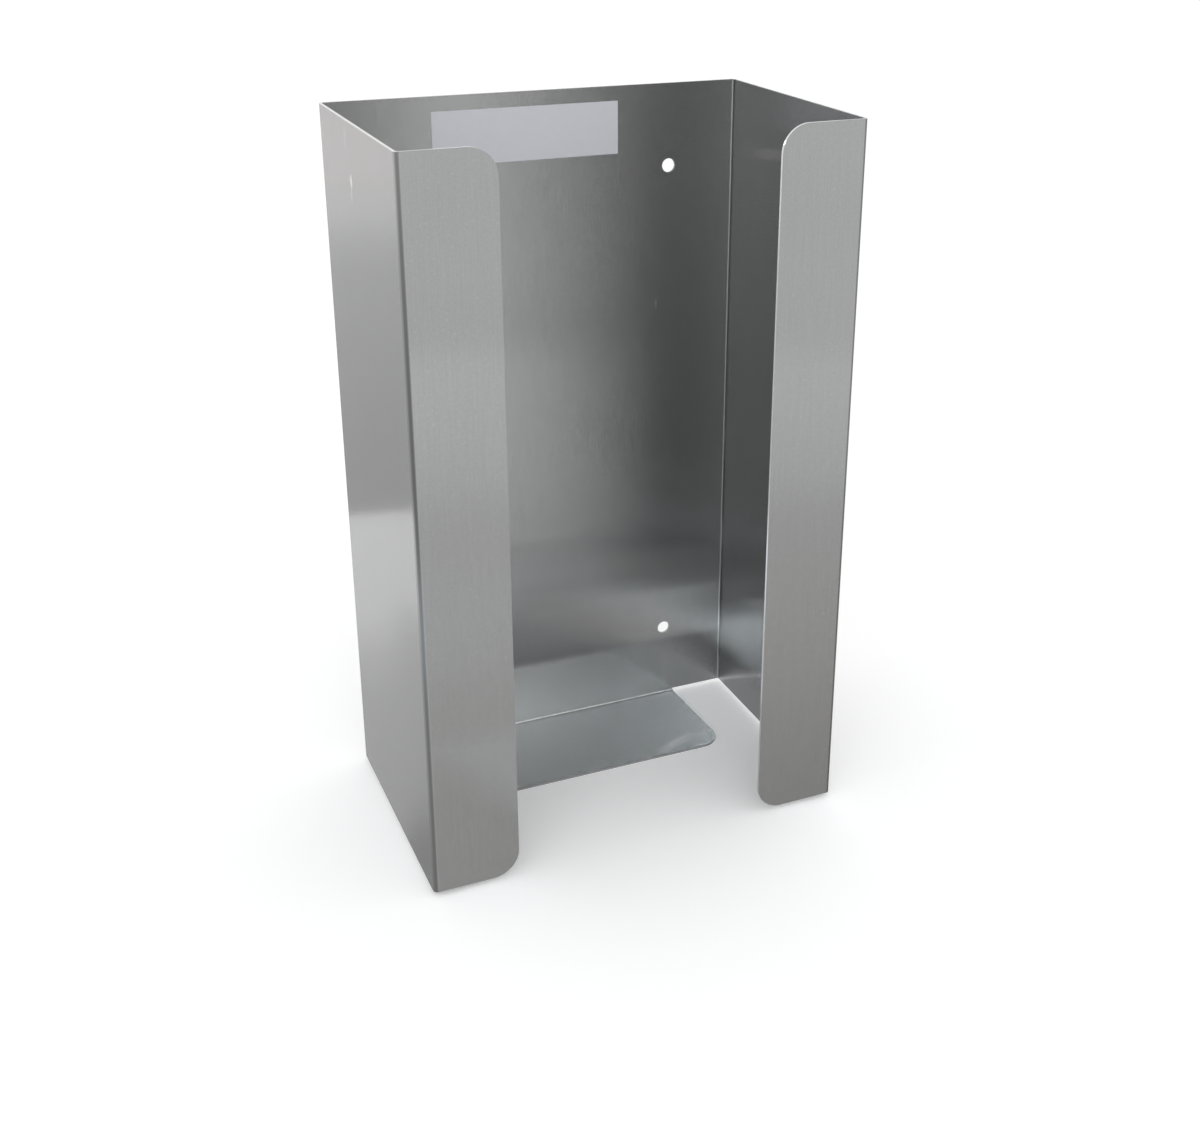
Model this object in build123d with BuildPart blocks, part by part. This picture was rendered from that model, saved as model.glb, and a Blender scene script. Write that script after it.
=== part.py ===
"""Wall-mounted holder for a carton of disposable gloves, folded from one stainless sheet.

The frame is the wall's: the rear face lies in the XZ plane, the origin is the centre of
the four wall holes, +Z is up and the open front faces -Y.
"""

from build123d import *
import os

# The folded sheet, in millimetres
height = 254.0
width = 156.0
depth = 96.0
sheet = 0.95
bend_radius = 0.8  # on the inside of every fold

# Front return flanges
flange_width = 31.0  # from the side wall's outer face to the free edge
flange_corner_radius = 9.5

# Bottom tab, which carries the carton
tab_width = 110.6  # at the fold
tab_flare = 2.0  # gained by each side between the fold and the front edge
tab_reach = 46.0  # from the rear face to the front edge
tab_corner_radius = 8.0

# Wall holes, on a rectangle centred on the back panel
hole_diameter = 5.16
hole_spacing_x = 101.6
hole_spacing_z = 193.7

# Adhesive label on the inner face of the back panel
label_length = 69.85
label_height = 19.05
label_thickness = 0.12
label_centre_x = -4.6
label_top_gap = 5.3  # from the panel's top edge

# Inner faces of the folded sheet, and the ends of the tab's fold
inner_x = width / 2 - sheet
inner_back_y = -sheet
inner_front_y = sheet - depth
window_x = width / 2 - flange_width
bottom_z = -height / 2
fold_end_y = -sheet - bend_radius
tab_front_x = tab_width / 2 + tab_flare

with BuildPart() as tab:
    # The fold starts at the panel's bottom edge, so it needs no relief slots beside it
    with BuildLine(Plane.YZ.offset(-tab_front_x)):
        fold = JernArc((inner_back_y, bottom_z), (0, -1), bend_radius, -90)
        Line(fold @ 1, (-tab_reach, bottom_z - bend_radius))
    make_brake_formed(sheet, 2 * tab_front_x, side=Side.LEFT)

    # The plan narrows towards the fold, and its two front corners are rounded
    with BuildSketch() as tab_plan:
        with BuildLine():
            right_side = Polyline(
                (0, 0),
                (tab_width / 2, 0),
                (tab_width / 2, fold_end_y),
                (tab_front_x, -tab_reach),
                (0, -tab_reach),
            )
            mirror(right_side, about=Plane.YZ)
        make_face()
        fillet(tab_plan.vertices().group_by(Axis.Y)[0], tab_corner_radius)
    extrude(amount=height, both=True, mode=Mode.INTERSECT)

with BuildPart() as dispenser_body:
    # Flange, side wall, back panel, side wall and flange are one strip with four folds
    with BuildLine(Plane.XY.offset(bottom_z)):
        FilletPolyline(
            (-window_x, inner_front_y),
            (-inner_x, inner_front_y),
            (-inner_x, inner_back_y),
            (inner_x, inner_back_y),
            (inner_x, inner_front_y),
            (window_x, inner_front_y),
            radius=bend_radius,
        )
    make_brake_formed(sheet, height, side=Side.LEFT)

    # The flanges' free corners are rounded, at the top and at the bottom
    free_corners = dispenser_body.edges().filter_by(Axis.Y).group_by(Axis.Y)[0]
    fillet(free_corners, flange_corner_radius)

    # The tab hangs on the back panel's bottom edge
    add(tab.part)

    # Four wall holes through the back panel
    with Locations(Plane.XZ.offset(sheet)):
        with GridLocations(hole_spacing_x, hole_spacing_z, 2, 2):
            Hole(hole_diameter / 2, depth=sheet)

with BuildPart() as blank_label:
    with BuildSketch(Plane.XZ.offset(sheet)):
        with Locations((label_centre_x, height / 2 - label_top_gap - label_height / 2)):
            Rectangle(label_length, label_height)
    extrude(amount=label_thickness)

os.makedirs("parts", exist_ok=True)
dispenser_body.part.label = "dispenser_body"
export_step(dispenser_body.part, "parts/dispenser_body.step")
blank_label.part.label = "blank_label"
export_step(blank_label.part, "parts/blank_label.step")
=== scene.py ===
"""Studio scene for the wall-mounted glove dispenser. Metres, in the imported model's frame."""

import bpy
from mathutils import Euler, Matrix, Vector
from math import pi, radians, sin


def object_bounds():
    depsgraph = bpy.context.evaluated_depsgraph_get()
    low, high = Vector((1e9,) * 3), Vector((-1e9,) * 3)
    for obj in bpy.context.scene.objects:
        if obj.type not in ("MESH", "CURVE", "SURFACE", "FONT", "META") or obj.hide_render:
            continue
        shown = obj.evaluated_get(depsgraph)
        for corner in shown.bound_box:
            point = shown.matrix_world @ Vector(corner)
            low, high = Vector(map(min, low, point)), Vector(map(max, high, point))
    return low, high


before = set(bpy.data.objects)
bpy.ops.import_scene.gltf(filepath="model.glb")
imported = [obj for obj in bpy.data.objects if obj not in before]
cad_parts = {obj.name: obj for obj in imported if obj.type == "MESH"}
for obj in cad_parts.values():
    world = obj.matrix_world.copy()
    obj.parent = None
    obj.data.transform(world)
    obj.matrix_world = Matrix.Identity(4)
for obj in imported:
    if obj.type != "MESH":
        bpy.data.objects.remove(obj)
cad_low, cad_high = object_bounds()
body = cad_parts["dispenser_body"]
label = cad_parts["blank_label"]
scene = bpy.context.scene
floor_z = cad_low.z

# Limits that pick out places on the steel, in metres
wall_face_x = 0.078
outer_fold_x = 0.0762
top_edge_x = 0.0768
top_edge_z = 0.1269
free_edge_x = 0.0665
free_edge_y = -0.0903
front_part_y = -0.05
back_part_y = -0.004

# Finish of the steel
steel_grey = (0.41, 0.414, 0.413)
steel_roughness = 0.148
speck_scale = 40000.0
speck_tilt = 0.44  # spreads reflections across the grain only
grain_tilt = 0.25
bow_lean = -0.032
edge_crown = -0.75

# Light
key_tone = 2.4
lamp_distance = 1.6
lamp_aim = Vector((0.0, 0.0, -0.08))
sky_tone = 0.98
right_tone = 0.8
floor_size = 24.0
floor_tone = 0.96
floor_lift = 0.10  # glow of the floor as the camera sees it
shade_gap = 0.0003  # shade_gap = 0.0003 # between the floor and the grey cards with painted shade on it


# Node helpers, for the tree whose nodes and links were taken last

def new_material(name):
    material = bpy.data.materials.new(name)
    material.use_nodes = True
    return material, material.node_tree.nodes, material.node_tree.links


def set_inputs(node, **values):
    for name, value in values.items():
        node.inputs[name.replace("_", " ")].default_value = value


def feed(value, socket):
    if isinstance(value, bpy.types.NodeSocket):
        links.new(value, socket)
    else:
        socket.default_value = value


def maths(operation, *values):
    node = nodes.new("ShaderNodeMath")
    node.operation = operation
    for socket, value in zip(node.inputs, values):
        feed(value, socket)
    return node.outputs[0]


def plus(first, second):
    return maths("ADD", first, second)


def times(first, second):
    return maths("MULTIPLY", first, second)


def unsigned(value):
    return maths("ABSOLUTE", value)


def above(value, limit):
    return maths("GREATER_THAN", value, limit)


def below(value, limit):
    return maths("LESS_THAN", value, limit)


def centred(value, amount):
    """A value from 0 to 1 turned into a swing about 0."""
    return times(maths("SUBTRACT", value, 0.5), amount)


def adjusted(level, share, amount):
    """The level, changed by the amount of itself where the share is 1."""
    return times(level, plus(times(share, amount), 1.0))


def ramp_between(value, low, high, to_low=0.0, to_high=1.0):
    node = nodes.new("ShaderNodeMapRange")
    node.interpolation_type = "SMOOTHSTEP"
    links.new(value, node.inputs["Value"])
    set_inputs(node, From_Min=low, From_Max=high, To_Min=to_low, To_Max=to_high)
    return node.outputs["Result"]


def band(value, rise_low, rise_high, fall_low, fall_high):
    """1 between the rise and the fall, 0 outside them."""
    rise = ramp_between(value, rise_low, rise_high)
    return times(rise, ramp_between(value, fall_low, fall_high, 1.0, 0.0))


def vector_maths(operation, *vectors):
    node = nodes.new("ShaderNodeVectorMath")
    node.operation = operation
    for socket, value in zip(node.inputs, vectors):
        feed(value, socket)
    return node.outputs[0]


def stretch(vector, factors):
    return vector_maths("MULTIPLY", vector, factors)


def scaled(vector, factor):
    node = nodes.new("ShaderNodeVectorMath")
    node.operation = "SCALE"
    feed(vector, node.inputs[0])
    feed(factor, node.inputs["Scale"])
    return node.outputs[0]


def length(vector):
    node = nodes.new("ShaderNodeVectorMath")
    node.operation = "LENGTH"
    links.new(vector, node.inputs[0])
    return node.outputs["Value"]


def parts(vector):
    node = nodes.new("ShaderNodeSeparateXYZ")
    links.new(vector, node.inputs[0])
    return node.outputs


def noise(vector, scale, detail=2.0):
    node = nodes.new("ShaderNodeTexNoise")
    links.new(vector, node.inputs["Vector"])
    set_inputs(node, Scale=scale, Detail=detail)
    return node.outputs["Fac"]


def mixed(share, first, second):
    node = nodes.new("ShaderNodeMix")
    links.new(share, node.inputs["Factor"])
    links.new(first, node.inputs["A"])
    links.new(second, node.inputs["B"])
    return node.outputs["Result"]


# Brushed stainless steel: the grain runs up the walls and out along the tab

steel, nodes, links = new_material("brushed_stainless")
bsdf = nodes["Principled BSDF"]
bsdf.inputs["Metallic"].default_value = 1.0
bsdf.inputs["Roughness"].default_value = steel_roughness
bsdf.inputs["Anisotropic"].default_value = 1.0

geometry = nodes.new("ShaderNodeNewGeometry")
position = nodes.new("ShaderNodeTexCoord").outputs["Object"]
at_x, at_y, at_z = parts(position)
n_x, n_y, n_z = parts(geometry.outputs["True Normal"])
is_flat = above(unsigned(n_z), 0.7)

# The tangent lies across the grain
across = nodes.new("ShaderNodeCombineXYZ")
links.new(maths("SUBTRACT", n_y, n_z), across.inputs["X"])
links.new(times(n_x, -1.0), across.inputs["Y"])
across_grain = vector_maths("NORMALIZE", across.outputs[0])
links.new(across_grain, bsdf.inputs["Tangent"])


def grain(across_scale, along_scale, detail):
    """Noise that is fine across the grain and long along it, which is Z, and Y on the tab."""
    on_walls = noise(stretch(position, (across_scale, across_scale, along_scale)), 1.0, detail)
    on_tab = noise(stretch(position, (across_scale, along_scale, across_scale)), 1.0, detail)
    return mixed(is_flat, on_walls, on_tab)


grain_fine = grain(16000.0, 160.0, 1.0)
grain_coarse = grain(3200.0, 40.0, 2.0)
speck = nodes.new("ShaderNodeTexWhiteNoise")
links.new(stretch(position, (speck_scale, speck_scale, speck_scale)), speck.inputs["Vector"])
tilt = plus(centred(speck.outputs["Value"], speck_tilt), centred(grain_fine, grain_tilt))
tilted = vector_maths("ADD", geometry.outputs["Normal"], scaled(across_grain, tilt))

# The left wall's shading normal leans down in its lower front part, as if the wall bowed slightly
forward = ramp_between(times(at_y, -1.0), 0.035, 0.092)
low_part = ramp_between(times(at_z, -1.0), 0.004, 0.030)
bow = times(times(forward, low_part), below(n_x, -0.9))
tilted = vector_maths("ADD", tilted, scaled((0.0, 0.0, bow_lean), bow))

# The flanges' free cut edges have their shading normal leaned towards the front, as if crowned
free_edge = times(below(unsigned(n_y), 0.3), below(at_y, free_edge_y))
free_edge = times(free_edge, below(unsigned(at_x), free_edge_x))
tilted = vector_maths("ADD", tilted, scaled((0.0, edge_crown, 0.0), free_edge))
links.new(vector_maths("NORMALIZE", tilted), bsdf.inputs["Normal"])

# Colour: a neutral grey with faint streaks, clouds, grit and specks
cloud = noise(stretch(position, (30.0, 30.0, 12.0)), 1.0, 3.0)
grit = noise(position, 2600.0)
specks = ramp_between(noise(position, 900.0, 0.0), 0.76, 0.82)
level = plus(plus(centred(grain_coarse, 0.11), centred(cloud, 0.06)), centred(grit, 0.17))
level = plus(plus(level, times(specks, 0.05)), 1.0)

# The outer front folds are darkened: a painted dark reflection of their bends
side_share = unsigned(n_x)
faces_front = below(n_y, -0.05)
outer = times(above(unsigned(at_x), outer_fold_x), below(at_y, front_part_y))
painted_fold_reflection = times(band(side_share, 0.06, 0.35, 0.62, 0.97), times(outer, faces_front))
level = adjusted(level, painted_fold_reflection, -0.52)

# The inner folds at the tab and beside the back panel are lightened: painted highlights of their
# bends
tab_fold_highlight = times(band(n_z, 0.10, 0.35, 0.80, 0.99), below(n_y, -0.1))
level = adjusted(level, tab_fold_highlight, 0.50)
back_fold_highlight = times(band(side_share, 0.10, 0.30, 0.80, 0.98), above(at_y, back_part_y))
level = adjusted(level, times(back_fold_highlight, faces_front), 0.12)

# The free cut edges and the side walls' top edges are lightened: partly the burnish of deburring,
# partly a painted highlight
top_edge = times(above(at_z, top_edge_z), above(unsigned(at_x), top_edge_x))
level = adjusted(level, free_edge, 0.9)
level = adjusted(level, top_edge, 0.7)

# A painted highlight of a small dent near the top of the left wall, with two fainter lighter
# marks, one under it and one above it
for centre_y, centre_z, size_y, size_z, amount in (
    (-0.0413, 0.1083, 0.0017, 0.0026, 0.80),
    (-0.0405, 0.1040, 0.0022, 0.0034, 0.14),
    (-0.0365, 0.1215, 0.0020, 0.0060, 0.14),
):
    offset = vector_maths("SUBTRACT", position, (-wall_face_x, centre_y, centre_z))
    offset = stretch(offset, (200.0, 1.0 / size_y, 1.0 / size_z))
    ragged = plus(length(offset), centred(noise(position, 900.0), 0.9))
    level = adjusted(level, ramp_between(ragged, 0.2, 1.1, 1.0, 0.0), amount)

# A faint scratch on the back panel, beside the middle of the bay
offset = vector_maths("SUBTRACT", position, (0.046, -0.001, 0.044))
offset = stretch(offset, (1500.0, 200.0, 350.0))
level = adjusted(level, ramp_between(length(offset), 0.3, 1.1, 1.0, 0.0), 0.5)

links.new(scaled(steel_grey, level), bsdf.inputs["Base Color"])

body.data.materials.clear()
body.data.materials.append(steel)

# Label: a bare satin film with a faint mottling
film, nodes, links = new_material("label_film")
bsdf = nodes["Principled BSDF"]
bsdf.inputs["Roughness"].default_value = 0.42
position = nodes.new("ShaderNodeTexCoord").outputs["Object"]
mottle = centred(noise(position, 420.0, 3.0), 0.05)
links.new(scaled((0.58, 0.58, 0.62), plus(mottle, 1.0)), bsdf.inputs["Base Color"])
label.data.materials.clear()
label.data.materials.append(film)


# Stage

def plane(name, centre, size_x, size_y):
    mesh = bpy.data.meshes.new(name)
    x, y = size_x / 2, size_y / 2
    mesh.from_pydata([(-x, -y, 0), (x, -y, 0), (x, y, 0), (-x, y, 0)], [], [(0, 1, 2, 3)])
    thing = bpy.data.objects.new(name, mesh)
    thing.location = centre
    scene.collection.objects.link(thing)
    return thing


floor = plane("floor", (0.0, 0.0, floor_z), floor_size, floor_size)
floor_paint, nodes, links = new_material("floor_paint")
bsdf = nodes["Principled BSDF"]
set_inputs(bsdf, Base_Color=(floor_tone, floor_tone, floor_tone, 1.0), Roughness=0.9)
set_inputs(bsdf, Emission_Color=(1.0, 1.0, 1.0, 1.0))
floor.data.materials.append(floor_paint)
rays = nodes.new("ShaderNodeLightPath").outputs
seen = maths("MAXIMUM", rays["Is Camera Ray"], rays["Is Glossy Ray"])
seen = maths("MAXIMUM", seen, rays["Is Transmission Ray"])
links.new(times(seen, floor_lift), bsdf.inputs["Emission Strength"])
floor.visible_glossy = False

# Grey cards on the floor under and before the open bottom, with painted shade of the floor, seen
# only in the steel
for name, centre, size_x, size_y, tone in (
    ("floor_shade_rear", (0.01, -0.025), 0.174, 0.048, 0.86),
    ("floor_shade_middle", (-0.015, -0.073), 0.124, 0.048, 0.62),
    ("floor_shade_front", (0.010, -0.111), 0.070, 0.028, 0.50),
    ("floor_shade_far", (0.010, -0.150), 0.070, 0.050, 0.66),
):
    paint, nodes, links = new_material(name)
    set_inputs(nodes["Principled BSDF"], Base_Color=(tone, tone, tone * 1.02, 1.0), Roughness=0.9)
    shade = plane(name, (*centre, floor_z + shade_gap), size_x, size_y)
    shade.data.materials.append(paint)
    shade.visible_camera = False
    shade.visible_diffuse = False
    shade.visible_shadow = False


# Lamps

def soft_box(name, away, size_x, size_y, tone, colour):
    """A lamp that stands away from the object in one direction and faces it."""
    data = bpy.data.lights.new(name, "AREA")
    data.shape = "RECTANGLE"
    data.size = size_x
    data.size_y = size_y
    data.energy = tone * pi * size_x * size_y
    data.color = colour
    lamp = bpy.data.objects.new(name, data)
    direction = Vector(away).normalized()
    lamp.location = lamp_aim + direction * lamp_distance
    lamp.rotation_euler = direction.to_track_quat("Z", "Y").to_euler()
    lamp.visible_camera = False
    scene.collection.objects.link(lamp)
    return lamp


# Key: a broad soft box on the front left, above the camera's view
soft_box("key", (-0.407, -0.765, 0.50), 1.25, 0.34, key_tone, (0.95, 0.98, 1.0))

# Reflector boxes on the front left, which only the steel shows
for name, away, size_x, size_y, tone in (
    ("front_box", (-0.50, -0.72, 0.495), 0.95, 0.26, 15.0),
    ("front_strip", (-0.38, -0.75, 0.555), 1.7, 0.10, 4.6),
):
    box = soft_box(name, away, size_x, size_y, tone, (0.90, 0.98, 1.03))
    box.visible_diffuse = False

# World: an even pale sky. Below the horizon it is the pale room that the steel reflects
world = bpy.data.worlds.new("studio")
scene.world = world
world.use_nodes = True
nodes, links = world.node_tree.nodes, world.node_tree.links
background = nodes["Background"]
way_x, way_y, way_z = parts(nodes.new("ShaderNodeTexCoord").outputs["Generated"])
turn = maths("ARCTAN2", way_x, times(way_y, -1.0))
drop = times(way_z, -1.0)


def room(tones):
    """Tones against the angle below the horizon, in degrees."""
    ramp = nodes.new("ShaderNodeValToRGB")
    links.new(drop, ramp.inputs["Fac"])
    stops = ramp.color_ramp.elements
    while len(stops) < len(tones):
        stops.new(0.5)
    for stop, (angle, _) in zip(stops, tones):
        stop.position = sin(radians(angle))
    for stop, (_, tone) in zip(stops, tones):
        colour = tone if isinstance(tone, tuple) else (tone, tone, tone)
        stop.color = (*colour, 1.0)
    return ramp.outputs["Color"]


def between(low, high):
    """0 where the turn from the front is under low, 1 where it is over high, in degrees."""
    return ramp_between(turn, radians(low), radians(high))


def over(share, under_colour, over_colour):
    node = nodes.new("ShaderNodeMix")
    node.data_type = "RGBA"
    links.new(share, node.inputs["Factor"])
    feed(under_colour, node.inputs[6])
    feed(over_colour, node.inputs[7])
    return node.outputs[2]


rear = room([
    (0, (1.08, 1.05, 1.05)), (11, (1.06, 1.03, 1.03)), (12.6, 0.97), (13.6, 0.83), (14.6, 0.75),
    (17.5, 0.68), (21, 0.61), (23.3, 0.58), (23.45, 1.08), (27, 1.0), (28.7, 0.79), (30, 0.70),
    (34.2, 0.62), (35.2, 0.54), (36, 0.42), (60, 0.4),
])
front_left = room([
    (0, 1.15), (10, 1.06), (14, 0.85), (18, 0.70), (24, 0.62), (25.5, 0.75),
    (26.5, (1.1, 1.18, 1.24)), (28.8, (1.1, 1.18, 1.24)), (30.5, 0.8), (40, 0.7),
])
front = room([
    (0, 0.92), (11, 0.86), (14.3, 0.93), (17.55, 0.82), (17.75, 1.09), (21, 1.04), (23.2, 0.99),
    (23.4, 0.90), (27.5, 0.87), (29.6, 0.83), (31.8, 0.80), (35.6, 0.74), (60, 0.6),
])
front_right = room([
    (0, 0.96), (10.2, 0.94), (12.8, 0.87), (18.6, 0.89), (20.8, 0.80), (22.6, 0.71), (22.8, 0.64),
    (25.2, (0.585, 0.58, 0.57)), (27.4, (0.54, 0.53, 0.515)), (29.6, (0.485, 0.47, 0.45)),
    (31.8, (0.41, 0.40, 0.38)), (33.2, (0.37, 0.36, 0.34)), (60, 0.33),
])
lower = over(between(-95, -60), rear, front_left)
lower = over(between(-14, 2), lower, front)
lower = over(between(14, 28), lower, front_right)
lower = over(between(80, 120), lower, (right_tone, right_tone, right_tone, 1.0))
sky = over(above(way_z, 0.0), lower, (sky_tone, sky_tone, sky_tone, 1.0))
links.new(sky, background.inputs["Color"])
background.inputs["Strength"].default_value = 1.0

# Camera, solved from the photograph's edges
camera_data = bpy.data.cameras.new("camera")
camera = bpy.data.objects.new("camera", camera_data)
scene.collection.objects.link(camera)
scene.camera = camera
camera.location = (-0.189447, -0.527318, 0.209051)
camera.rotation_euler = Euler((radians(67.911), radians(-0.376), radians(-23.780)))
camera_data.lens = 46.553
camera_data.shift_x = -0.0417
camera_data.shift_y = -0.0771
camera_data.clip_start = 0.01
camera_data.clip_end = 50.0

scene.view_settings.view_transform = "Standard"
